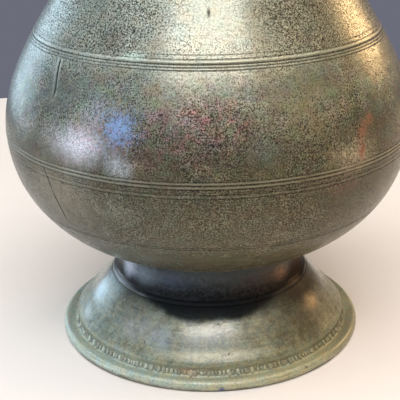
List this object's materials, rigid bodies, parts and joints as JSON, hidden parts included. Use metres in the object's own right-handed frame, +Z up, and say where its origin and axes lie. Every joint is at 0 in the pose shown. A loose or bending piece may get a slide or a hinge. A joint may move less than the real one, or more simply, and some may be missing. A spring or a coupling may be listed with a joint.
{
  "type": "bronze hu vessel",
  "caption": "Round pear-shaped bronze hu vessel with bowstring bands, a flared hollow foot, a wide mouth, and a beast mask holding a loose ring on each side.",
  "frame": {"origin": "centre of the foot's underside, on the surface that the vessel stands on", "axes": "+Z up the vessel's axis to the mouth, +X to the right-hand mask as the picture sees the vessel, +Y away from the viewer"},
  "size_m": [0.2406, 0.2406, 0.372],
  "materials": {
    "body_bronze": "smooth worn cast bronze with an olive and grey-green patina",
    "foot_bronze": "smooth worn cast bronze with a pale grey-green patina",
    "solder": "dull lead-tin solder",
    "spacer_bronze": "bronze plates, cast in",
    "mask_bronze": "cast bronze, rubbed on its high points",
    "ring_bronze": "cast bronze, rubbed by handling",
    "rivet_bronze": "hammered bronze"
  },
  "bodies": {
    "vessel": {"vessel_body": "body_bronze", "foot": "foot_bronze", "solder_ring": "solder", "floor_spacers": "spacer_bronze", "right_mask": "mask_bronze", "right_mask_rivets": "rivet_bronze", "left_mask": "mask_bronze", "left_mask_rivets": "rivet_bronze"},
    "right_ring": {"right_ring": "ring_bronze"},
    "left_ring": {"left_ring": "ring_bronze"}
  },
  "joints": [
    {"name": "right_ring_swing", "type": "hinge", "parent": "vessel", "child": "right_ring", "pos_m": [0.07432, 0, 0.25195], "axis": [0, -1, 0], "range_deg": [0, 180]},
    {"name": "left_ring_swing", "type": "hinge", "parent": "vessel", "child": "left_ring", "pos_m": [-0.07432, 0, 0.25195], "axis": [0, 1, 0], "range_deg": [0, 180]}
  ]
}
